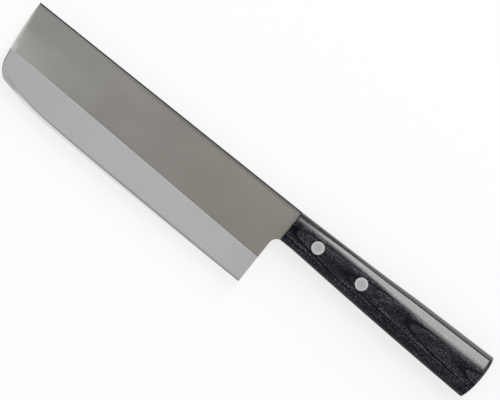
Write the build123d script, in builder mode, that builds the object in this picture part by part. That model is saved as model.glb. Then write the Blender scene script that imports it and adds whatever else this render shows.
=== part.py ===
from build123d import *
import math
import os

# A nakiri: a straight vegetable knife with a half tang between two wooden scales.
# It lies on its right side, tip towards -X, spine towards +Y, left side up.
# The origin is under the middle of its outline, level with the underside of the handle.
# All lengths are millimetres.

# Blade
blade_length = 165.0        # front of the blade to the heel
blade_height = 47.2         # spine to the cutting edge
blade_thickness = 2.0
front_lean = 3.5            # how far the front edge falls back before its lower corner
bevel_width_front = 20.3    # wide bevel, from its upper line down to the level of the edge
bevel_width_heel = 15.6
bevel_land_front = 0.60     # thickness that the wide bevel leaves at the edge
bevel_land_heel = 0.32
edge_flat = 0.06            # thickness of the very edge
edge_angle = 10.0           # degrees, of each side of the final, narrow bevel
spine_softening = 0.35      # rounding of the long spine corners
heel_radius = 4.6           # inner corner between the heel and the neck
neck_length = 3.3           # bare steel between the heel and the handle

# Handle
handle_length = 122.1
handle_front_height = 17.8
handle_butt_height = 25.5
handle_front_thickness = 12.4
handle_butt_thickness = 16.0
handle_rise = 3.05          # of the handle's back above the spine, at the butt
back_step = 0.55            # part of that rise, which comes in one gentle step
back_step_centre = 61.0     # behind the handle's front
back_step_length = 36.0
belly_level_length = 8.0    # the belly starts level with the spine, then falls away
belly_bow = 0.44            # outward, in the falling stretch
crown_front = 4.4           # height of the rounded back and belly at the handle's front
crown_butt = 10.1
swell_start = 20.0          # behind the handle's front, where thickness and crown start to grow
swell_length = 85.0
handle_front_softening = 0.3
butt_radius = 58.0          # of the butt's arc, seen from the side
butt_crest_depth = 7.5      # below the spine, where the butt reaches farthest
butt_softening = 1.1
tang_length = 56.0
handle_stations = 17        # sections that the handle's surface is drawn through

# Rivets
rivet_head_diameter = 6.7
rivet_head_seat = 3.8       # wood left between the tang and a rivet's head
rivet_barrel_diameter = 4.5
rivet_stem_diameter = 3.0
rivet_overlap = 6.0         # length of stem inside the barrel
rivet_end_gap = 0.3         # left past the ends of barrel and stem
rivet_clearance = 0.05      # radial, around heads, barrels and stems
front_rivet_setback = 17.4  # behind the handle's front face
rivet_spacing = 28.35
front_rivet_depth = 9.1     # below the spine
rear_rivet_depth = 9.6

overrun = 5.0               # of a cutter past what it cuts

# Outline points, as shares of the blade's length and height, from the heel forwards.
edge_point_shares = ((0.636, 1), (0.248, 0.98), (0.082, 0.914))
front_height_share = 0.70

# Places that follow from these sizes
overall_length = blade_length + neck_length + handle_length
tip_x = -overall_length / 2
heel_x = tip_x + blade_length
handle_x = heel_x + neck_length
tang_end_x = handle_x + tang_length
butt_x = overall_length / 2
spine_y = (blade_height - handle_rise) / 2
edge_y = spine_y - blade_height
neck_y = spine_y - handle_front_height
belly_drop = handle_butt_height - handle_rise - handle_front_height
mid_z = handle_butt_thickness / 2
left_z = mid_z + blade_thickness / 2
mid_plane = Plane.XY.offset(mid_z)
butt_centre = (butt_x - butt_radius, spine_y - butt_crest_depth)

rivet_places = {
    "front": (handle_x + front_rivet_setback, spine_y - front_rivet_depth),
    "rear": (handle_x + front_rivet_setback + rivet_spacing, spine_y - rear_rivet_depth),
}
head_bore_radius = rivet_head_diameter / 2 + rivet_clearance
barrel_bore_radius = rivet_barrel_diameter / 2 + rivet_clearance
left_seat_z = left_z + rivet_head_seat
right_seat_z = 2 * mid_z - left_seat_z
barrel_end_z = right_seat_z + rivet_end_gap
stem_end_z = barrel_end_z + rivet_overlap


def blade_point(length_share, height_share):
    """Outline point behind the tip and below the spine."""
    return (tip_x + length_share * blade_length, spine_y - height_share * blade_height)


def eased(share):
    """0 to 1, level at both ends."""
    share = min(max(share, 0), 1)
    return share * share * (3 - 2 * share)


def back_rise(along):
    """Height of the handle's back above the spine, at a distance behind the handle's front."""
    straight = min(along / handle_length, 1) * (handle_rise - back_step)
    step_start = back_step_centre - back_step_length / 2
    return straight + back_step * eased((along - step_start) / back_step_length)


def belly_fall(along):
    """How far the handle's belly has fallen below the height of its front."""
    share = max(along - belly_level_length, 0) / (handle_length - belly_level_length)
    share = min(share, 1)
    return share * belly_drop + 4 * belly_bow * share * (1 - share)


def swell(along, front, butt):
    """A size that grows smoothly from the handle's front to its butt."""
    return front + (butt - front) * eased((along - swell_start) / swell_length)


# The cutting edge and the knife's outline without its handle
with BuildLine(mid_plane) as outline:
    back = Line((tip_x, spine_y), (handle_x, spine_y))
    neck_end = Line(back @ 1, (handle_x, neck_y))
    notch = RadiusArc(
        neck_end @ 1,
        (heel_x, neck_y - math.sqrt(heel_radius**2 - (heel_radius - neck_length) ** 2)),
        -heel_radius,
    )
    heel = Line(notch @ 1, (heel_x, edge_y))
    flat = Line(heel @ 1, blade_point(*edge_point_shares[0]))
    belly = TangentArc(flat @ 1, blade_point(*edge_point_shares[1]), tangent=flat % 1)
    upturn = TangentArc(belly @ 1, blade_point(*edge_point_shares[2]), tangent=belly % 1)
    corner = TangentArc(
        upturn @ 1,
        (tip_x + front_lean, spine_y - front_height_share * blade_height),
        tangent=upturn % 1,
    )
    TangentArc(corner @ 1, back @ 0, tangent=corner % 1)

# The stock that the wide bevel takes off the left side
with BuildPart() as bevel_cutter:
    for x, width, land in (
        (tip_x - overrun, bevel_width_front, bevel_land_front),
        (heel_x + overrun, bevel_width_heel, bevel_land_heel),
    ):
        slope = (blade_thickness - land) / 2 / width
        with BuildSketch(Plane.YZ.offset(x)):
            with BuildLine():
                Polyline(
                    (edge_y + width, left_z),
                    (edge_y - overrun, left_z - slope * (width + overrun)),
                    (edge_y - overrun, left_z + overrun),
                    (edge_y + width, left_z + overrun),
                    close=True,
                )
            make_face()
    loft(ruled=True)

# The stock that the final, narrow bevel takes off the left side: a wedge along the edge,
# which leaves it on a straight line where the blade turns up to its front
edge_slope = math.tan(math.radians(edge_angle))
wedge_width = blade_thickness / edge_slope
wedge_low_z = mid_z + edge_flat / 2
with BuildLine() as wedge_path:
    Line((heel_x + overrun, edge_y, mid_z), flat @ 1)
    add([belly, upturn])
    Line(upturn @ 1, (upturn @ 1) + (upturn % 1) * (wedge_width + overrun))

with BuildPart() as edge_cutter:
    with BuildSketch(Plane.YZ.offset(heel_x + overrun)):
        with BuildLine():
            Polyline(
                (edge_y - overrun, wedge_low_z),
                (edge_y, wedge_low_z),
                (edge_y + wedge_width, wedge_low_z + blade_thickness),
                (edge_y - overrun, wedge_low_z + blade_thickness),
                close=True,
            )
        make_face()
    sweep(path=wedge_path.line)

# The left scale without its holes, drawn through sections that run past the butt and cut
# there along an arc. Its back and belly are a quarter of an ellipse each.
with BuildPart() as scale_blank:
    for station in range(handle_stations):
        along = station / (handle_stations - 1) * (handle_length + overrun)
        thickness = swell(along, handle_front_thickness, handle_butt_thickness)
        depth = (thickness - blade_thickness) / 2
        crown = swell(along, crown_front, crown_butt)
        back_y = spine_y + back_rise(along)
        belly_y = neck_y - belly_fall(along)
        with BuildSketch(Plane.YZ.offset(handle_x + along)):
            with BuildLine():
                upper = EllipticalCenterArc(
                    (back_y - crown, left_z), crown, depth, start_angle=0, arc_size=90
                )
                lower = EllipticalCenterArc(
                    (belly_y + crown, left_z), crown, depth, start_angle=90, arc_size=90
                )
                Line(upper @ 1, lower @ 0)
                Line(lower @ 1, upper @ 0)
            make_face()
    loft()
    with BuildSketch(mid_plane):
        with Locations(butt_centre):
            Circle(butt_radius)
            Rectangle(handle_length, 2 * butt_radius, align=(Align.MAX, Align.CENTER))
    extrude(amount=handle_butt_thickness, mode=Mode.INTERSECT)
    butt_rim = scale_blank.faces().sort_by(Axis.X)[-1].edges().sort_by(Axis.Z)
    fillet(butt_rim[1:], butt_softening)

# The handle's middle layer is the tang in front and a spacer strip behind it
with BuildPart() as middle_layer:
    extrude(scale_blank.faces().sort_by(Axis.Z)[0], amount=blade_thickness)

with BuildPart() as tang:
    add(middle_layer.part)
    split(bisect_by=Plane.YZ.offset(tang_end_x), keep=Keep.BOTTOM)
    with BuildSketch(mid_plane):
        with Locations(*rivet_places.values()):
            Circle(barrel_bore_radius)
    extrude(amount=blade_thickness, both=True, mode=Mode.SUBTRACT)

with BuildPart() as tang_spacer:
    add(middle_layer.part)
    split(bisect_by=Plane.YZ.offset(tang_end_x), keep=Keep.TOP)

# The blade is one blank with its tang. The line where the handle starts stays an edge, so
# that the bare side is a face of its own.
with BuildPart() as blade:
    with BuildSketch(mid_plane):
        add(outline.line)
        make_face()
    extrude(amount=blade_thickness / 2, both=True)
    spine_corners = blade.edges().filter_by(Axis.X).filter_by_position(Axis.Y, spine_y, spine_y)
    fillet(spine_corners, spine_softening)
    for cutter in (bevel_cutter, edge_cutter):
        add(cutter.part, mode=Mode.SUBTRACT)
        mirror(cutter.part, about=mid_plane, mode=Mode.SUBTRACT)
    add(tang.part, clean=False)

with BuildPart() as left_handle_scale:
    add(scale_blank.part)
    front_rim = left_handle_scale.faces().sort_by(Axis.X)[0].edges().sort_by(Axis.Z)
    fillet(front_rim[1:], handle_front_softening)
    with Locations(*[(x, y, handle_butt_thickness) for x, y in rivet_places.values()]):
        CounterBoreHole(
            radius=barrel_bore_radius,
            counter_bore_radius=head_bore_radius,
            counter_bore_depth=handle_butt_thickness - left_seat_z,
            depth=handle_butt_thickness,
        )

with BuildPart() as right_handle_scale:
    mirror(left_handle_scale.part, about=mid_plane)


# A rivet's left head, ground flush with the scale
def make_head(x, y):
    with BuildPart() as head:
        with BuildSketch(Plane((x, y, left_seat_z))):
            Circle(rivet_head_diameter / 2)
        extrude(amount=handle_butt_thickness)
        add(scale_blank.part, mode=Mode.INTERSECT)
    return head.part


# The half of a rivet with the hollow barrel, from the left
def make_socket_half(x, y):
    head = make_head(x, y)
    with BuildPart() as socket_half:
        add(head)
        with BuildSketch(Plane((x, y, barrel_end_z))):
            Circle(rivet_barrel_diameter / 2)
        extrude(amount=left_seat_z - barrel_end_z)
        with BuildSketch(Plane((x, y, barrel_end_z))):
            Circle(rivet_stem_diameter / 2 + rivet_clearance)
        extrude(amount=rivet_overlap + rivet_end_gap, mode=Mode.SUBTRACT)
    return socket_half


# The half with the solid stem, from the right
def make_stem_half(x, y):
    head = make_head(x, y)
    with BuildPart() as stem_half:
        mirror(head, about=mid_plane)
        with BuildSketch(Plane((x, y, right_seat_z))):
            Circle(rivet_stem_diameter / 2)
        extrude(amount=stem_end_z - right_seat_z)
    return stem_half


nodes = {
    "blade": blade,
    "tang_spacer": tang_spacer,
    "left_handle_scale": left_handle_scale,
    "right_handle_scale": right_handle_scale,
}
for place, centre in rivet_places.items():
    nodes[place + "_rivet_socket"] = make_socket_half(*centre)
    nodes[place + "_rivet_stem"] = make_stem_half(*centre)

os.makedirs("parts", exist_ok=True)
for name, node in nodes.items():
    node.part.label = name
    export_step(node.part, "parts/" + name + ".step")
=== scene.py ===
import math

import bmesh
import bpy
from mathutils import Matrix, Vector


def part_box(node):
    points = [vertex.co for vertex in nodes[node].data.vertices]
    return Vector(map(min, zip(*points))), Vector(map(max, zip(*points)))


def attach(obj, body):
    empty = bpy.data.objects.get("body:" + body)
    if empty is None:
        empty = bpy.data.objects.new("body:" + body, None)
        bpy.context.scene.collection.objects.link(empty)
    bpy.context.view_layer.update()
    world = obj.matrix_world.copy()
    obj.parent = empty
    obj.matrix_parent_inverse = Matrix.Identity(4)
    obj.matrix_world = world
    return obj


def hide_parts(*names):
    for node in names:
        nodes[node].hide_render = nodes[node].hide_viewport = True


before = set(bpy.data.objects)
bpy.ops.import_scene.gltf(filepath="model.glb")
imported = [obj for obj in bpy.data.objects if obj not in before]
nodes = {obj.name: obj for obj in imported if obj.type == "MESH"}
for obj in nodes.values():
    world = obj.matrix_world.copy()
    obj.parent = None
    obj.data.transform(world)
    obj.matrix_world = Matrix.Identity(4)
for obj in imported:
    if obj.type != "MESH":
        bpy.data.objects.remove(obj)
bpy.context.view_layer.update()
scene = bpy.context.scene
mm = 0.001
print("frame loaded:", ", ".join(sorted(nodes)))


def boxInMm(node):
    return [[value / mm for value in corner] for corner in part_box(node)]


# middle of a round node, seen from the side
def middleInMm(node):
    low, high = boxInMm(node)
    return (low[0] + high[0]) / 2, (low[1] + high[1]) / 2


# the knife's own places and sizes in millimetres
bladeLow, bladeHigh = boxInMm("blade")
knife = {
    "tipX": bladeLow[0],
    "edgeY": bladeLow[1],
    "handleX": boxInMm("left_handle_scale")[0][0],
    "midZ": (bladeLow[2] + bladeHigh[2]) / 2,
    "bladeThickness": bladeHigh[2] - bladeLow[2],
    "bladeLength": 165.0,
    "bladeHeight": 47.2,
    "rivets": (middleInMm("front_rivet_socket"), middleInMm("rear_rivet_socket")),
}
knife["heelX"] = knife["tipX"] + knife["bladeLength"]
knife["spineY"] = knife["edgeY"] + knife["bladeHeight"]

# camera: square to the blade's side, and turned so that the knife lies aslant
cameraSetup = {
    "aim": (-1.15, 10.46, 8.0),     # the point in the middle of the picture, mm
    "distance": 2400.0,
    "viewWidth": 251.15,            # mm across the picture at the knife
    "turn": 38.716,                 # degrees
    "sensor": 36.0,
    "farthest": 20.0,               # m
}

camData = bpy.data.cameras.new("pictureCamera")
camData.sensor_width = cameraSetup["sensor"]
camData.lens = cameraSetup["sensor"] * cameraSetup["distance"] / cameraSetup["viewWidth"]
camData.clip_end = cameraSetup["farthest"]
cam = bpy.data.objects.new("pictureCamera", camData)
scene.collection.objects.link(cam)
cam.location = (Vector(cameraSetup["aim"]) + Vector((0, 0, cameraSetup["distance"]))) * mm
cam.rotation_euler = (0, 0, math.radians(cameraSetup["turn"]))
bpy.context.scene.camera = cam
print("camera set")


# helpers for node trees: an output is linked to its socket, a number is set on it,
# and so is a colour, which gets a 1 where its fourth part is left out
def feed(tree, value, socket):
    if isinstance(value, (int, float)):
        socket.default_value = value
    elif isinstance(value, tuple):
        socket.default_value = value + (1,) * (len(socket.default_value) - len(value))
    else:
        tree.links.new(value, socket)


def mathNode(tree, operation, *values):
    node = tree.nodes.new("ShaderNodeMath")
    node.operation = operation
    for value, socket in zip(values, node.inputs):
        feed(tree, value, socket)
    return node.outputs[0]


def plus(tree, a, b):
    return mathNode(tree, "ADD", a, b)


def minus(tree, a, b):
    return mathNode(tree, "SUBTRACT", a, b)


def times(tree, a, b):
    return mathNode(tree, "MULTIPLY", a, b)


def timesPlus(tree, a, b, c):
    return mathNode(tree, "MULTIPLY_ADD", a, b, c)


def larger(tree, a, b):
    return mathNode(tree, "MAXIMUM", a, b)


def smaller(tree, a, b):
    return mathNode(tree, "MINIMUM", a, b)


# a noise of 0 to 1 made to swing by an amount around a middle
def swing(tree, noise, amount, middle=0.0):
    return timesPlus(tree, noise, amount, middle - amount / 2)


# a value swayed around a middle by several noises
def swayed(tree, noises, amounts, middle):
    value = middle
    for noise, amount in zip(noises, amounts):
        value = plus(tree, value, swing(tree, noise, amount))
    return value


# an eased step: ends are (from, to) or (from, to, value at the first, value at the second)
def fade(tree, value, ends):
    node = tree.nodes.new("ShaderNodeMapRange")
    node.interpolation_type = "SMOOTHSTEP"
    feed(tree, value, node.inputs["Value"])
    names = ("From Min", "From Max", "To Min", "To Max")
    for name, end in zip(names, ends):
        node.inputs[name].default_value = end
    return node.outputs["Result"]


# the ends of a fade, counted from a place
def fromPlace(place, ends):
    return (place + ends[0], place + ends[1], *ends[2:])


# the two sides of a mix node are its sockets 6 and 7 for colours, and 2 and 3 for plain values
def mixColor(tree, factor, a, b):
    node = tree.nodes.new("ShaderNodeMix")
    node.data_type = "RGBA"
    for value, socket in zip((factor, a, b), (node.inputs[0], node.inputs[6], node.inputs[7])):
        feed(tree, value, socket)
    return node.outputs[2]


def mixValue(tree, factor, a, b):
    node = tree.nodes.new("ShaderNodeMix")
    for value, socket in zip((factor, a, b), (node.inputs[0], node.inputs[2], node.inputs[3])):
        feed(tree, value, socket)
    return node.outputs[0]


def scaleColor(tree, color, factor):
    node = tree.nodes.new("ShaderNodeVectorMath")
    node.operation = "SCALE"
    feed(tree, color, node.inputs[0])
    feed(tree, factor, node.inputs["Scale"])
    return node.outputs[0]


# object coordinates in millimetres from a chosen point: the vector, then its three parts
def placeInMm(tree, centre=(0, 0, 0)):
    coords = tree.nodes.new("ShaderNodeTexCoord")
    mapping = tree.nodes.new("ShaderNodeMapping")
    mapping.inputs["Scale"].default_value = (1 / mm, 1 / mm, 1 / mm)
    mapping.inputs["Location"].default_value = tuple(-c for c in centre)
    tree.links.new(coords.outputs["Object"], mapping.inputs["Vector"])
    split = tree.nodes.new("ShaderNodeSeparateXYZ")
    tree.links.new(mapping.outputs[0], split.inputs[0])
    return mapping.outputs[0], *split.outputs[:3]


# noise with cells of a size in millimetres along each axis
def stretchedNoise(tree, place, cell, detail, rough=0.5):
    mapping = tree.nodes.new("ShaderNodeMapping")
    mapping.inputs["Scale"].default_value = tuple(1 / c for c in cell)
    tree.links.new(place, mapping.inputs["Vector"])
    noise = tree.nodes.new("ShaderNodeTexNoise")
    noise.inputs["Scale"].default_value = 1.0
    noise.inputs["Detail"].default_value = detail
    noise.inputs["Roughness"].default_value = rough
    tree.links.new(mapping.outputs[0], noise.inputs["Vector"])
    return noise.outputs["Fac"]


def newMaterial(name):
    material = bpy.data.materials.new(name)
    material.use_nodes = True
    return material, material.node_tree, material.node_tree.nodes["Principled BSDF"]


def addBump(tree, shader, height, distance):
    bump = tree.nodes.new("ShaderNodeBump")
    bump.inputs["Distance"].default_value = distance
    bump.inputs["Strength"].default_value = 1.0
    tree.links.new(height, bump.inputs["Height"])
    tree.links.new(bump.outputs[0], shader.inputs["Normal"])


# light: an even sky with a darker patch overhead, and one tall leaning softbox on the spine side
lightSetup = {
    "sky": 0.80,
    "overhead": 0.17,
    "overheadEdge": (20.0, 8.0),    # degrees from straight up, where the sky darkens
    "softboxFoot": (3.2, 0.0),      # y and z of the line that the softbox leans along, m
    "softboxHead": (1.0, 2.75),
    "softboxSides": (-0.16, 0.32),  # x, m
    # from one share of the leaning line to the next, and how bright: it dims towards its head
    "softboxBands": (
        (0.25, 0.84, 8.0),
        (0.84, 0.91, 6.3),
        (0.91, 0.98, 4.5),
        (0.98, 1.06, 2.8),
        (1.06, 1.16, 1.6),
        (1.16, 1.28, 0.8),
    ),
}

scene.view_settings.view_transform = "Standard"
world = bpy.data.worlds.new("studioSky")
scene.world = world
world.use_nodes = True
sky = world.node_tree
skyCoords = sky.nodes.new("ShaderNodeTexCoord")
skySplit = sky.nodes.new("ShaderNodeSeparateXYZ")
sky.links.new(skyCoords.outputs["Generated"], skySplit.inputs[0])
skyEdge = tuple(math.cos(math.radians(angle)) for angle in lightSetup["overheadEdge"])
skyLevel = fade(sky, skySplit.outputs["Z"], skyEdge + (lightSetup["sky"], lightSetup["overhead"]))
sky.links.new(skyLevel, sky.nodes["Background"].inputs["Strength"])
sky.nodes["Background"].inputs["Color"].default_value = (1, 1, 1, 1)

left, right = lightSetup["softboxSides"]
foot = Vector(((left + right) / 2, *lightSetup["softboxFoot"]))
head = Vector(((left + right) / 2, *lightSetup["softboxHead"]))
for number, (low, high, radiance) in enumerate(lightSetup["softboxBands"]):
    name = "softbox%d" % (number + 1)
    bandData = bpy.data.lights.new(name, "AREA")
    bandData.shape = "RECTANGLE"
    bandData.size = right - left
    bandData.size_y = (high - low) * (head - foot).length
    bandData.energy = radiance * bandData.size * bandData.size_y * math.pi
    band = bpy.data.objects.new(name, bandData)
    scene.collection.objects.link(band)
    band.location = foot.lerp(head, (low + high) / 2)
    band.rotation_euler = (-math.atan2(head.z - foot.z, foot.y - head.y), 0, 0)
    band.visible_camera = False
print("lights set")

# floor: pale paper, with a share of plain white in what is seen of it, so that shadows stay pale
floorSetup = {
    "halfSize": 6.0,                # m
    "squares": 4,                   # along each side
    "drop": 0.02,                   # mm below the knife
    "color": (0.93, 0.93, 0.93, 1),
    "roughness": 0.9,
    "glow": 0.7,                    # the share of plain white
}


def makePalePaper():
    material, paper, matt = newMaterial("palePaper")
    matt.inputs["Base Color"].default_value = floorSetup["color"]
    matt.inputs["Roughness"].default_value = floorSetup["roughness"]
    matt.inputs["Specular IOR Level"].default_value = 0.0
    rays = paper.nodes.new("ShaderNodeLightPath").outputs
    seen = plus(paper, rays["Is Camera Ray"], rays["Is Glossy Ray"])
    seen = smaller(paper, plus(paper, seen, rays["Is Transmission Ray"]), 1.0)
    plainWhite = paper.nodes.new("ShaderNodeEmission")
    blend = paper.nodes.new("ShaderNodeMixShader")
    paper.links.new(times(paper, seen, floorSetup["glow"]), blend.inputs[0])
    paper.links.new(matt.outputs[0], blend.inputs[1])
    paper.links.new(plainWhite.outputs[0], blend.inputs[2])
    paper.links.new(blend.outputs[0], paper.nodes["Material Output"].inputs["Surface"])
    return material


floorMesh = bpy.data.meshes.new("floor")
bm = bmesh.new()
squares = floorSetup["squares"]
bmesh.ops.create_grid(bm, x_segments=squares, y_segments=squares, size=floorSetup["halfSize"])
bmesh.ops.translate(bm, verts=bm.verts, vec=(0, 0, -floorSetup["drop"] * mm))
bm.to_mesh(floorMesh)
bm.free()
floor = bpy.data.objects.new("floor", floorMesh)
scene.collection.objects.link(floor)
floorMesh.materials.append(makePalePaper())
print("floor laid")

# blade: satin side, finer and brighter wide bevel, bright narrow bevel, painted dark shade on the spine
# corner
# distances are in mm, x and y are the knife's own, and a pair or a four is the ends of a fade
bladeSetup = {
    "sideFront": (0.648, 0.634, 0.594),         # colours
    "sideHeel": (0.590, 0.547, 0.494),
    "bevelEnds": (0.725, 0.725, 0.722),
    "bevelMiddle": (0.760, 0.770, 0.766),
    "narrowBevel": (1.0, 1.0, 0.99),
    "edgeShade": (0.26, 0.26, 0.26),
    "spineShadeColor": (0.07, 0.07, 0.075),
    "sideRoughness": 0.26,
    "bevelRoughness": 0.34,
    "spineRoughness": 0.65,
    "sideLines": ((30, 0.22, 0.22), 3),         # noises: size of their cells, and detail
    "bevelLines": ((0.25, 26, 26), 3),
    "cloud": ((26, 12, 12), 2),
    "grit": ((0.5, 0.5, 0.5), 1),
    "grain": ((0.95, 0.95, 0.95), 1),
    "sideSwings": (0.035, 0.12, 0.06),          # how far lines, grit and grain sway the brightness
    "bevelSwings": (0.06, 0.06, 0.15),
    "sideRoughSwings": (0.012, 0.04),           # how far lines and cloud sway the roughness
    "bevelRoughSwing": 0.08,
    "bumpHeight": 0.0016,
    "sideBumpShare": 0.3,

    # where the faces and the outline run
    "bevelFront": 20.3,                         # width of the wide bevel
    "bevelHeel": 15.6,
    "bevelBorder": (0.06, -0.06),
    "heelBorder": (0.4, -0.1),                  # from the heel
    "brightMiddle": ((0.1, 0.4), (1.0, 0.85)),  # shares of the length where the bevel is brighter
    "edgeBows": ((-40.26, 0.00023), (-104.28, 0.002845)),   # start in x, rise per square mm
    "narrowFront": 1.55,                        # width of the narrow bevel
    "narrowHeel": 0.76,
    "narrowLoss": (-119.0, -132.0, 0.0, 0.75),  # it thins out at the front
    "narrowBorder": (0.05, -0.05),
    "narrowMatt": (-122.0, -132.0, 0.0, 0.25),  # and is more matt there
    "lean": 0.003206,                           # of the front, per square mm below the spine
    "corner": (-129.195, -8.58, 12.73),         # centre and radius of the front's lower corner

    # a dark line of painted shade above the narrow bevel
    "edgeShadeRise": (-60.0, 10.0, 0.0, 0.56),
    "edgeShadeTurn": -0.2,                           # it rises where the edge turns up
    "edgeShadeFoot": (-0.10, 0.12),
    "edgeShadeCore": (0.95, 0.35),
    "edgeShadeBlur": (1.9, 0.3, 0.0, 0.45),
    "edgeShadeBlurAlong": (-110.0, -50.0, 0.2, 1.0),
    "edgeShadeStrengths": ((-90.0, 10.0, 0.75, 0.97), (-128.0, -88.0, 0.55, 1.0), (-139.0, -130.0, 0.25, 1.0)),

    # painted shade under that line at the front's lower corner
    "underTurn": -0.243,
    "underHeight": (2.1, 1.8),
    "underAlong": ((-124.0, -130.0), (-140.5, -135.5, 0.35, 1.0)),
    "underDepth": -0.25,

    # painted sheen on the side: a narrow rim and a wide glow, both behind the front and low down
    "frontSheenLean": -0.07,
    "rimAlong": (7.2, -1.5, 0.0, 0.74),
    "rimHeight": (14.0, -6.0),
    "glowAlong": (62.0, 4.0, 0.0, 0.33),
    "glowHeight": (14.5, -3.5),

    # the front's lip, painted bright on the side and painted dark beside the wide bevel
    "lipWidth": 2.4,
    "lipHeight": (21.0, 9.0, 0.0, 0.95),
    "lipFoot": (3.6, 0.4, 0.0, 0.55),
    "lipFootHeight": (0.8, -3.2),
    "lipMatt": 0.098,
    "lineWidth": (0.80, 0.40),
    "aboveCorner": (-12.2, -10.8),
    "lineHeight": (-4.5, -7.0, 0.4, 1.0),
    "cornerAlong": (-131.0, -141.0, 0.0, 0.62),
    "frontShadeDepth": -0.48,

    # the wide bevel's upper line: painted shade above it and a painted shine below it, faint at the front
    "crispAlong": (-143.0, -112.0, 0.3, 1.0),
    "creaseHeights": ((0.75, 0.3), (0.0, 0.1)),
    "creaseDepth": -0.13,
    "shineHeight": (-0.75, -0.3, 0.0, 0.12),

    # painted shade and a painted dark corner along the spine
    "shadeHeight": (2.9, 0.9),
    "shadeAlong": (-120.0, -50.0, 0.10, 0.30),
    "spineHeight": (1.25, 0.7),
    "handleBorder": (0.05, -0.05),              # from the handle's front
}


# how far a point lies from the lines on the blade
def bladeDistances(tree, x, y):
    s = bladeSetup
    length = knife["bladeLength"]
    along = timesPlus(tree, x, 1 / length, -knife["tipX"] / length)
    height = minus(tree, y, knife["edgeY"])
    bevelWidth = timesPlus(tree, along, s["bevelHeel"] - s["bevelFront"], s["bevelFront"])

    # the edge turns up to the front in two bows, and the narrow bevel follows it
    turnedUp = 0.0
    for start, rise in s["edgeBows"]:
        ahead = larger(tree, minus(tree, start, x), 0.0)
        turnedUp = timesPlus(tree, times(tree, ahead, ahead), rise, turnedUp)
    overEdge = minus(tree, height, turnedUp)
    loss = fade(tree, x, s["narrowLoss"])
    narrowWidth = timesPlus(tree, along, s["narrowHeel"] - s["narrowFront"], s["narrowFront"])
    overNarrow = minus(tree, overEdge, minus(tree, narrowWidth, loss))
    overEdgeShade = plus(tree, overNarrow, fade(tree, x, s["edgeShadeRise"]))
    overEdgeShade = minus(tree, timesPlus(tree, turnedUp, s["edgeShadeTurn"], overEdgeShade), loss)

    # behind the leaning front, and inside the round of its lower corner
    below = minus(tree, knife["spineY"], y)
    behind = timesPlus(tree, times(tree, below, below), -s["lean"], minus(tree, x, knife["tipX"]))
    cornerX, cornerY, cornerRadius = s["corner"]
    dx = smaller(tree, minus(tree, x, cornerX), 0.0)
    dy = smaller(tree, minus(tree, y, cornerY), 0.0)
    reach = mathNode(tree, "SQRT", timesPlus(tree, dx, dx, times(tree, dy, dy)))
    return {
        "along": along,
        "overBevel": minus(tree, height, bevelWidth),
        "overUnder": timesPlus(tree, turnedUp, s["underTurn"], overEdge),
        "overNarrow": overNarrow,
        "overEdgeShade": overEdgeShade,
        "below": below,
        "behind": behind,
        "inCorner": minus(tree, cornerRadius, reach),
    }


# how strong each face and line is at a point, 0 to 1
def bladeMasks(tree, x, far):
    s = bladeSetup
    onBlade = fade(tree, x, fromPlace(knife["heelX"], s["heelBorder"]))
    masks = {
        "bevel": times(tree, fade(tree, far["overBevel"], s["bevelBorder"]), onBlade),
        "narrow": times(tree, fade(tree, far["overNarrow"], s["narrowBorder"]), onBlade),
    }

    # painted shade: a dark line above the narrow bevel
    core = fade(tree, far["overEdgeShade"], s["edgeShadeCore"])
    blur = times(tree, fade(tree, far["overEdgeShade"], s["edgeShadeBlur"]), fade(tree, x, s["edgeShadeBlurAlong"]))
    edgeShade = times(tree, fade(tree, far["overEdgeShade"], s["edgeShadeFoot"]), larger(tree, core, blur))
    edgeShade = times(tree, edgeShade, onBlade)
    for ends in s["edgeShadeStrengths"]:
        edgeShade = times(tree, edgeShade, fade(tree, x, ends))
    masks["edgeShade"] = edgeShade

    # painted shade at the front's lower corner
    under = fade(tree, far["overUnder"], s["underHeight"])
    for ends in s["underAlong"]:
        under = times(tree, under, fade(tree, x, ends))
    masks["under"] = under

    # painted shade above the wide bevel's line, painted shine below it
    crisp = fade(tree, x, s["crispAlong"])
    crease = times(tree, crisp, onBlade)
    for ends in s["creaseHeights"]:
        crease = times(tree, crease, fade(tree, far["overBevel"], ends))
    masks["crease"] = crease
    masks["shine"] = times(tree, fade(tree, far["overBevel"], s["shineHeight"]), crisp)
    masks["shade"] = times(tree, fade(tree, far["below"], s["shadeHeight"]), fade(tree, x, s["shadeAlong"]))
    bare = fade(tree, x, fromPlace(knife["handleX"], s["handleBorder"]))
    masks["spine"] = times(tree, fade(tree, far["below"], s["spineHeight"]), bare)
    return masks


# the front's painted sheen, its painted bright lip, and the painted dark line that the lip has beside the
# wide bevel
def bladeFront(tree, x, y, far):
    s = bladeSetup
    leaning = timesPlus(tree, y, s["frontSheenLean"], x)
    rimHighlight = fade(tree, leaning, fromPlace(knife["tipX"], s["rimAlong"]))
    glow = fade(tree, leaning, fromPlace(knife["tipX"], s["glowAlong"]))
    rimHighlight = times(tree, rimHighlight, fade(tree, y, s["rimHeight"]))
    glow = times(tree, glow, fade(tree, y, s["glowHeight"]))

    lip = larger(tree, timesPlus(tree, far["behind"], -1 / s["lipWidth"], 1.0), 0.0)
    lip = times(tree, times(tree, lip, lip), fade(tree, y, s["lipHeight"]))
    lipFoot = times(tree, fade(tree, far["behind"], s["lipFoot"]), fade(tree, y, s["lipFootHeight"]))

    aboveCorner = fade(tree, y, s["aboveCorner"])
    upper = times(tree, fade(tree, far["behind"], s["lineWidth"]), aboveCorner)
    upper = times(tree, upper, fade(tree, y, s["lineHeight"]))
    lower = times(tree, fade(tree, far["inCorner"], s["lineWidth"]), minus(tree, 1.0, aboveCorner))
    lower = times(tree, lower, fade(tree, x, s["cornerAlong"]))
    return {
        "frontSheen": plus(tree, plus(tree, rimHighlight, glow), plus(tree, lip, lipFoot)),
        "lip": larger(tree, lip, lipFoot),
        "line": plus(tree, upper, lower),
    }


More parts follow.
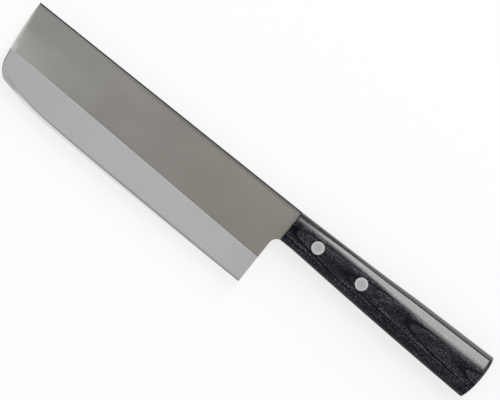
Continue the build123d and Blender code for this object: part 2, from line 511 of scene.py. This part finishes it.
def makeBladeSteel():
    s = bladeSetup
    material, tree, shader = newMaterial("bladeSteel")
    place, x, y = placeInMm(tree)[:3]
    far = bladeDistances(tree, x, y)
    masks = bladeMasks(tree, x, far)
    front = bladeFront(tree, x, y, far)
    sideLines = stretchedNoise(tree, place, *s["sideLines"])
    bevelLines = stretchedNoise(tree, place, *s["bevelLines"])
    cloud = stretchedNoise(tree, place, *s["cloud"])
    grit = stretchedNoise(tree, place, *s["grit"])
    grain = stretchedNoise(tree, place, *s["grain"])

    sideTone = swayed(tree, (sideLines, grit, grain), s["sideSwings"], 1.0)
    # painted sheen and highlight on the side near the front
    sideTone = plus(tree, sideTone, front["frontSheen"])
    # painted shade above the wide bevel's line
    sideTone = times(tree, sideTone, timesPlus(tree, masks["crease"], s["creaseDepth"], 1.0))
    sideTone = times(tree, sideTone, minus(tree, 1.0, masks["shade"]))
    toHeel = fade(tree, far["along"], (0.0, 1.0))
    sideColor = scaleColor(tree, mixColor(tree, toHeel, s["sideFront"], s["sideHeel"]), sideTone)

    bevelTone = swayed(tree, (bevelLines, grit, grain), s["bevelSwings"], 1.0)
    # painted shine below the wide bevel's line
    bevelTone = plus(tree, bevelTone, masks["shine"])
    # painted dark line beside the wide bevel at the front
    bevelTone = times(tree, bevelTone, timesPlus(tree, front["line"], s["frontShadeDepth"], 1.0))
    # darkens the bevel there with painted shade
    bevelTone = times(tree, bevelTone, timesPlus(tree, masks["under"], s["underDepth"], 1.0))
    behindFront, beforeHeel = (fade(tree, far["along"], ends) for ends in s["brightMiddle"])
    middle = times(tree, behindFront, beforeHeel)
    bevelColor = scaleColor(tree, mixColor(tree, middle, s["bevelEnds"], s["bevelMiddle"]), bevelTone)

    color = mixColor(tree, masks["bevel"], sideColor, bevelColor)
    color = mixColor(tree, masks["narrow"], color, s["narrowBevel"])
    # the dark line above the narrow bevel is painted shade
    color = mixColor(tree, masks["edgeShade"], color, s["edgeShade"])
    # the spine corner's dark colour is painted shade
    color = mixColor(tree, masks["spine"], color, s["spineShadeColor"])
    tree.links.new(color, shader.inputs["Base Color"])

    sideRough = swayed(tree, (sideLines, cloud), s["sideRoughSwings"], s["sideRoughness"])
    sideRough = timesPlus(tree, front["lip"], s["lipMatt"], sideRough)
    narrowRough = times(tree, masks["narrow"], fade(tree, x, s["narrowMatt"]))
    bevelRough = swing(tree, bevelLines, s["bevelRoughSwing"], s["bevelRoughness"])
    bevelRough = plus(tree, bevelRough, narrowRough)
    rough = mixValue(tree, masks["bevel"], sideRough, bevelRough)
    rough = mixValue(tree, masks["spine"], rough, s["spineRoughness"])
    tree.links.new(rough, shader.inputs["Roughness"])
    shader.inputs["Metallic"].default_value = 1.0

    sideBump = times(tree, sideLines, s["sideBumpShare"])
    lines = mixValue(tree, masks["bevel"], sideBump, bevelLines)
    addBump(tree, shader, lines, s["bumpHeight"] * mm)
    return material


# rivets: ground flush, a pale rim of painted highlight round a slightly darker middle
rivetSetup = {
    "centre": (0.585, 0.585, 0.57),
    "middle": (0.675, 0.675, 0.665),
    "rimHighlight": (0.80, 0.80, 0.79),
    "scratch": (0.4, 0.4, 0.4),
    "scratchShare": 0.18,
    "scratches": ((9, 0.2, 0.2), 3),    # noise: size of its cells in mm, and detail
    "radius": 3.35,
    "middleShares": (0.1, 0.65),    # of the radius
    "rimHighlightShares": (0.68, 0.82),
    "roughness": 0.36,
    "roughSwing": 0.12,
    "bumpHeight": 0.004,
}


def makeRivetMetal():
    r = rivetSetup
    material, tree, shader = newMaterial("rivetMetal")
    place, x, y = placeInMm(tree)[:3]
    distances = []
    for centreX, centreY in knife["rivets"]:
        dx = minus(tree, x, centreX)
        dy = minus(tree, y, centreY)
        distances.append(mathNode(tree, "SQRT", timesPlus(tree, dx, dx, times(tree, dy, dy))))
    distance = smaller(tree, *distances)
    disc = fade(tree, distance, [share * r["radius"] for share in r["middleShares"]])
    rimHighlight = fade(tree, distance, [share * r["radius"] for share in r["rimHighlightShares"]])
    scratches = stretchedNoise(tree, place, *r["scratches"])
    color = mixColor(tree, disc, r["centre"], r["middle"])
    # the pale rim is a painted highlight
    color = mixColor(tree, rimHighlight, color, r["rimHighlight"])
    color = mixColor(tree, times(tree, scratches, r["scratchShare"]), color, r["scratch"])
    tree.links.new(color, shader.inputs["Base Color"])
    rough = swing(tree, scratches, r["roughSwing"], r["roughness"])
    tree.links.new(rough, shader.inputs["Roughness"])
    shader.inputs["Metallic"].default_value = 1.0
    addBump(tree, shader, scratches, r["bumpHeight"] * mm)
    return material


# handle: sizes of the wooden shell of each side, mm
handleSetup = {
    "length": 122.098,
    "frontHeight": 17.8,
    "buttHeight": 25.5,
    "frontThickness": 12.4,
    "buttThickness": 16.0,
    "rise": 3.049,                  # of the back above the spine, at the butt
    "step": 0.55,                   # part of the rise, which comes in one gentle step
    "stepCentre": 61.0,
    "stepLength": 36.0,
    "bellyLevel": 8.0,              # length over which the belly stays level
    "bellyBow": 0.44,
    "crownFront": 4.4,              # height of the rounded back and belly
    "crownButt": 10.1,
    "crownShare": 0.4,              # of the section's points, for each crown
    "gentleCrown": 6.5,             # a lower crown runs out gently into the side
    "gentleRate": 0.57,
    "swellStart": 20.0,
    "swellLength": 85.0,
    "buttRadius": 58.0,
    "buttCrest": 7.5,               # below the spine
    "buttPower": 8,                 # how late the sections start to follow the butt's arc
    "buttSoftening": 1.1,
    "frontSoftening": 0.3,
    "softSteps": 6,
    "stationStep": 1.0,
    "ringSteps": 60,
    "headRadius": 3.40,             # seats of the rivets
    "headSeat": 3.8,
    "barrelRadius": 2.3,
    "seatSteps": 64,
    "overrun": 1.0,
    "merge": 0.0005,
    "sharpAngle": 35.0,             # degrees
}


def eased(share):
    share = min(max(share, 0.0), 1.0)
    return share * share * (3 - 2 * share)


# the handle at a distance behind its front: height of back and belly, depth of wood, crown
def handleAt(along):
    h = handleSetup
    stepStart = h["stepCentre"] - h["stepLength"] / 2
    rise = min(along / h["length"], 1) * (h["rise"] - h["step"])
    rise += h["step"] * eased((along - stepStart) / h["stepLength"])
    fallShare = min(max(along - h["bellyLevel"], 0) / (h["length"] - h["bellyLevel"]), 1)
    drop = h["buttHeight"] - h["rise"] - h["frontHeight"]
    fall = fallShare * drop + 4 * h["bellyBow"] * fallShare * (1 - fallShare)
    swell = eased((along - h["swellStart"]) / h["swellLength"])
    thickness = h["frontThickness"] + (h["buttThickness"] - h["frontThickness"]) * swell
    crown = h["crownFront"] + (h["crownButt"] - h["crownFront"]) * swell
    backY = knife["spineY"] + rise
    bellyY = knife["spineY"] - h["frontHeight"] - fall
    return backY, bellyY, (thickness - knife["bladeThickness"]) / 2, crown


# a point of the outer curve, y and depth: share 0 at the back, 1 at the belly
def sectionPoint(share, along, inset):
    h = handleSetup
    backY, bellyY, depth, crown = handleAt(along)
    power = 2 + h["gentleRate"] * max(h["gentleCrown"] - crown, 0)
    crown = max(crown, h["gentleCrown"]) - inset
    backY -= inset
    bellyY += inset
    depth -= inset
    fromEnd = min(share, 1 - share)
    if fromEnd < h["crownShare"]:
        rest = math.cos(fromEnd / h["crownShare"] * math.pi / 2)
        y = backY - crown * (1 - rest) if share < 0.5 else bellyY + crown * (1 - rest)
        return y, depth * math.sqrt(1 - rest ** power)
    mix = (share - h["crownShare"]) / (1 - 2 * h["crownShare"])
    return (backY - crown) * (1 - mix) + (bellyY + crown) * mix, depth


# sections from front to butt: distance along, and how far the section is drawn in
def handleStations():
    h = handleSetup
    turns = [k / h["softSteps"] * math.pi / 2 for k in range(h["softSteps"] + 1)]
    soft = h["frontSoftening"]
    stations = [(soft * (1 - math.cos(turn)), soft * (1 - math.sin(turn))) for turn in turns]
    span = h["length"] - h["buttSoftening"] - h["frontSoftening"]
    count = int(span / h["stationStep"])
    stations += [(soft + span * k / count, 0.0) for k in range(1, count)]
    soft = h["buttSoftening"]
    stations += [(h["length"] - soft * (1 - math.sin(turn)), soft * (1 - math.cos(turn))) for turn in turns]
    return stations


# an object's mesh from a bmesh, cleaned and turned outwards
def finishMesh(bm, name):
    bmesh.ops.remove_doubles(bm, verts=bm.verts, dist=handleSetup["merge"] * mm)
    bmesh.ops.recalc_face_normals(bm, faces=bm.faces)
    mesh = bpy.data.meshes.new(name)
    bm.to_mesh(mesh)
    bm.free()
    obj = bpy.data.objects.new(name, mesh)
    scene.collection.objects.link(obj)
    return obj


# the shell of one side: a flat strip, two rows of points deep, is extruded from front to butt
def drawShell(name, side):
    h = handleSetup
    centreY = knife["spineY"] - h["buttCrest"]
    bm = bmesh.new()
    column = bm.verts.layers.int.new("column")
    row = bm.verts.layers.int.new("row")
    halfStrip = 0.5
    bmesh.ops.create_grid(bm, x_segments=h["ringSteps"], y_segments=1, size=halfStrip)
    for v in bm.verts:
        v[column] = round((v.co.x + halfStrip) * h["ringSteps"])
        v[row] = 1 if v.co.y > 0 else 0     # the second row lies against the blade's middle layer

    def placeRing(verts, station):
        along, inset = station
        for v in verts:
            share = v[column] / h["ringSteps"]
            y, depth = sectionPoint(share, along, inset)
            # the butt end is an arc seen from the side, and the sections before it follow it more and more
            fallBack = h["buttRadius"] - math.sqrt(h["buttRadius"] ** 2 - (y - centreY) ** 2)
            x = along - fallBack * (along / h["length"]) ** h["buttPower"]
            y, depth = sectionPoint(share, x, inset)
            z = knife["bladeThickness"] / 2 + (0 if v[row] else depth)
            v.co = Vector((knife["handleX"] + x, y, knife["midZ"] + side * z)) * mm

    stations = handleStations()
    placeRing(bm.verts, stations[0])
    cap = list(bm.faces)
    for number, station in enumerate(stations[1:]):
        made = bmesh.ops.extrude_face_region(bm, geom=cap)["geom"]
        if number > 0:      # the first cap closes the front, later ones would be walls inside the wood
            bmesh.ops.delete(bm, geom=cap, context="FACES_KEEP_BOUNDARY")
        cap = [item for item in made if isinstance(item, bmesh.types.BMFace)]
        placeRing([item for item in made if isinstance(item, bmesh.types.BMVert)], station)
    return finishMesh(bm, name)


# what is drilled out of one side: the bores of the rivets and the seats of their heads
def drawSeats(side):
    h = handleSetup
    seat = knife["bladeThickness"] / 2 + h["headSeat"]
    high = h["buttThickness"]
    profile = (
        (0, -h["overrun"]),
        (h["barrelRadius"], -h["overrun"]),
        (h["barrelRadius"], seat),
        (h["headRadius"], seat),
        (h["headRadius"], high),
        (0, high),
    )
    bm = bmesh.new()
    for x, y in knife["rivets"]:
        verts = [bm.verts.new(Vector((x + r, y, knife["midZ"] + side * z)) * mm) for r, z in profile]
        line = [bm.edges.new(pair) for pair in zip(verts, verts[1:])]
        bmesh.ops.spin(bm, geom=verts + line, cent=Vector((x, y, 0)) * mm, axis=(0, 0, 1),
                       angle=2 * math.pi, steps=h["seatSteps"], use_merge=True)
    return finishMesh(bm, "rivetSeats")


# black laminated wood: distances are in mm, and a pair or a four is the ends of a fade
woodSetup = {
    "tone": 0.0132,                 # middle brightness
    "tint": (1.0, 1.01, 1.12),
    "blue": (0.0, 0.0, 0.0032),     # added over all of it
    "sway": ((30, 3.5, 3.5), 2),    # noises: size of their cells, and detail
    "drift": ((40, 30, 30), 1),
    "fibre": ((13, 0.8, 0.8), 2, 0.6),  # and how rough it is
    "dash": ((1.0, 0.45, 0.45), 1),
    "patch": ((10, 3.4, 3.4), 2),
    "bumpHeight": 0.004,

    # the figure: nested arches that open towards the butt
    "archPeriod": 36.8,
    "firstArch": 26.9,
    "archSpread": 0.52,             # how quickly an arch opens
    "archPower": 2.65,
    "archY": 12.4,                  # height of their middle line
    "archFall": 0.014,              # of that line towards the butt
    "archFallX": 70.0,              # where it is at its own height
    "layerRate": 6.0,               # mm of arch for each mm of depth
    "swayAmount": 6.0,
    "driftAmount": 2.0,
    "longArch": ((32.0, 58.0, 0.0, 1.6), (96.0, 66.0)),     # one arch lies farther back

    # each arch has a dark line outside it, a dark blot and haze ahead of it, a pale start inside it
    "lineOut": ((0.95, 0.5), (0.0, 0.1)),
    "lineSteep": (34.0, 17.0, 0.35, 1.0),
    "faintLine": ((1.0, 4.0), (74.0, 58.0, 0.0, 0.7)),      # above the middle line, towards the front
    "blotAhead": (6.0, 3.2, 0.0, 0.9),
    "blotLower": 0.6,
    "blotHeight": (2.9, 1.4),
    "hazeAhead": (15.0, 4.0, 0.0, 0.33),
    "hazeHeight": (4.5, 1.5),
    "paleShares": ((0.55, 0.04), (0.0, 0.02)),

    # brightness in powers of two
    "swings": (11.0, 4.5, 3.4),     # of dashes, fibres and patches
    "palePower": 0.55,
    "darkPower": -3.4,
    "highestPower": 2.4,
    # the belly is painted lighter, standing in for light on it
    "bellyLightPower": 0.62,
    # a painted sheen below the softbox's reflection on the back
    "underStrip": ((0.6, 4.6), (7.4, 5.4)),     # heights of a paler band, which adds one power

    # finish: duller on the belly and at the front
    "roughness": 0.08,
    "bellyRoughness": 0.34,
    "frontRoughness": 0.15,
    "roughSwing": 0.03,
    "bellyHeight": (10.4, 7.4),
    "frontAlong": (22.0, -4.0),     # from the handle's front
    "refraction": 1.6,
    "mirror": 0.42,
    "bellyMirror": -0.37,
    "mirrorAlong": (0.0, 23.0, 0.55, 1.0),

    # by how far the surface faces the back: a dull upper corner at the front, a brighter back
    "cornerLower": (58.0, 25.0, 0.0, 0.18),
    "cornerFacing": ((0.50, 0.62), (0.86, 0.74)),
    "cornerAlong": (74.0, 46.0, 0.0, 0.78),
    "backFacing": (0.66, 0.78),
    "backAlong": (40.0, 110.0, 0.12, 0.75),
}


# the arches of the wood's figure: how dark and how pale they make a point
def archFigure(tree, place, x, y, z):
    w = woodSetup
    period = w["archPeriod"]
    sway = stretchedNoise(tree, place, *w["sway"])
    drift = stretchedNoise(tree, place, *w["drift"])
    middle = timesPlus(tree, x, w["archFall"], -w["archFallX"] * w["archFall"])
    middle = plus(tree, middle, swing(tree, drift, w["driftAmount"]))
    fromMiddle = plus(tree, y, middle)
    apart = mathNode(tree, "ABSOLUTE", fromMiddle)
    bow = times(tree, mathNode(tree, "POWER", apart, w["archPower"]), w["archSpread"])
    steep = mathNode(tree, "POWER", apart, w["archPower"] - 1)
    steep = times(tree, steep, w["archSpread"] * w["archPower"])
    steep = mathNode(tree, "SQRT", timesPlus(tree, steep, steep, 1.0))

    # the layers lie flat, so the figure moves back where the surface curves down to them
    start = knife["handleX"] + handleSetup["swellStart"]
    halves = (handleSetup["frontThickness"] / 2, handleSetup["buttThickness"] / 2)
    surface = fade(tree, x, (start, start + handleSetup["swellLength"], *halves))
    depth = larger(tree, minus(tree, surface, mathNode(tree, "ABSOLUTE", z)), 0.0)
    arch = minus(tree, plus(tree, x, swing(tree, sway, w["swayAmount"])), bow)
    arch = minus(tree, arch, times(tree, depth, w["layerRate"]))
    first, last = (fade(tree, arch, ends) for ends in w["longArch"])
    arch = plus(tree, arch, times(tree, first, last))
    arch = timesPlus(tree, arch, 1 / period, -w["firstArch"] / period)

    share = mathNode(tree, "FRACT", arch)
    ahead = times(tree, minus(tree, 1.0, share), period)
    outside = mathNode(tree, "DIVIDE", ahead, steep)
    line = fade(tree, steep, w["lineSteep"])
    for ends in w["lineOut"]:
        line = times(tree, line, fade(tree, outside, ends))
    above, inFront = w["faintLine"]
    fainter = times(tree, fade(tree, fromMiddle, above), fade(tree, x, inFront))
    line = times(tree, line, minus(tree, 1.0, fainter))
    lowered = mathNode(tree, "ABSOLUTE", plus(tree, fromMiddle, w["blotLower"]))
    blot = times(tree, fade(tree, ahead, w["blotAhead"]), fade(tree, lowered, w["blotHeight"]))
    haze = times(tree, fade(tree, ahead, w["hazeAhead"]), fade(tree, apart, w["hazeHeight"]))
    inner, outer = (fade(tree, share, ends) for ends in w["paleShares"])
    return larger(tree, line, larger(tree, blot, haze)), times(tree, inner, outer)


# how much the wood mirrors
def woodMirror(tree, x, belly):
    w = woodSetup
    geometry = tree.nodes.new("ShaderNodeNewGeometry")
    facing = tree.nodes.new("ShaderNodeSeparateXYZ")
    tree.links.new(geometry.outputs["Normal"], facing.inputs[0])
    toBack = facing.outputs["Y"]
    lowEnds, highEnds = w["cornerFacing"]
    lowered = plus(tree, toBack, fade(tree, x, w["cornerLower"]))
    corner = times(tree, fade(tree, lowered, lowEnds), fade(tree, toBack, highEnds))
    corner = times(tree, corner, fade(tree, x, w["cornerAlong"]))
    mirror = timesPlus(tree, belly, w["bellyMirror"], w["mirror"])
    mirror = times(tree, mirror, fade(tree, x, fromPlace(knife["handleX"], w["mirrorAlong"])))
    mirror = times(tree, mirror, minus(tree, 1.0, corner))
    back = times(tree, fade(tree, toBack, w["backFacing"]), fade(tree, x, w["backAlong"]))
    return plus(tree, mirror, back)


def makeHandleWood():
    w = woodSetup
    material, tree, shader = newMaterial("blackLaminatedWood")
    place, x, y, z = placeInMm(tree, (0, w["archY"], knife["midZ"]))
    fibre = stretchedNoise(tree, place, *w["fibre"])
    dash = stretchedNoise(tree, place, *w["dash"])
    patch = stretchedNoise(tree, place, *w["patch"])
    dark, pale = archFigure(tree, place, x, y, z)
    belly = fade(tree, y, fromPlace(-w["archY"], w["bellyHeight"]))

    power = swayed(tree, (dash, fibre, patch), w["swings"], 0.0)
    power = timesPlus(tree, pale, w["palePower"], power)
    power = timesPlus(tree, dark, w["darkPower"], power)
    # painted light: the belly is made lighter
    power = timesPlus(tree, belly, w["bellyLightPower"], smaller(tree, power, w["highestPower"]))
    # painted sheen: a paler band below the reflection on the back
    risen, ended = (fade(tree, y, ends) for ends in w["underStrip"])
    power = timesPlus(tree, risen, ended, power)
    tone = times(tree, mathNode(tree, "POWER", 2.0, power), w["tone"])
    bluer = tree.nodes.new("ShaderNodeVectorMath")
    bluer.operation = "ADD"
    bluer.inputs[1].default_value = w["blue"]
    tree.links.new(scaleColor(tree, w["tint"], tone), bluer.inputs[0])
    tree.links.new(bluer.outputs[0], shader.inputs["Base Color"])

    front = fade(tree, x, fromPlace(knife["handleX"], w["frontAlong"]))
    rough = timesPlus(tree, belly, w["bellyRoughness"] - w["roughness"], w["roughness"])
    rough = larger(tree, rough, times(tree, front, w["frontRoughness"]))
    rough = plus(tree, rough, swing(tree, fibre, w["roughSwing"]))
    tree.links.new(rough, shader.inputs["Roughness"])
    tree.links.new(woodMirror(tree, x, belly), shader.inputs["Specular IOR Level"])
    shader.inputs["IOR"].default_value = w["refraction"]
    addBump(tree, shader, plus(tree, fibre, dash), w["bumpHeight"] * mm)
    return material


bladeSteel = makeBladeSteel()
handleWood = makeHandleWood()
rivetMetal = makeRivetMetal()
print("materials made")


def dress(node, material):
    obj = nodes[node]
    obj.data.materials.clear()
    obj.data.materials.append(material)


dress("blade", bladeSteel)
dress("tang_spacer", handleWood)
for end in ("front", "rear"):
    dress(end + "_rivet_socket", rivetMetal)
    dress(end + "_rivet_stem", rivetMetal)
print("carried nodes dressed")


def buildScale(name, node, side):
    shell = drawShell(name, side)
    seats = drawSeats(side)
    cut = shell.modifiers.new("rivetSeats", "BOOLEAN")
    cut.operation = "DIFFERENCE"
    cut.solver = "EXACT"
    cut.object = seats
    bpy.context.view_layer.update()
    drilled = shell.evaluated_get(bpy.context.evaluated_depsgraph_get())
    mesh = bpy.data.meshes.new_from_object(drilled)
    shell.modifiers.clear()
    shell.data = mesh
    mesh.name = name
    bpy.data.objects.remove(seats)
    for polygon in mesh.polygons:
        polygon.use_smooth = True
    mesh.set_sharp_from_angle(angle=math.radians(handleSetup["sharpAngle"]))
    mesh.materials.clear()
    mesh.materials.append(handleWood)
    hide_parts(node)
    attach(shell, "root")
    print(name, "built with", len(mesh.polygons), "faces")


buildScale("leftScaleWood", "left_handle_scale", 1)
buildScale("rightScaleWood", "right_handle_scale", -1)
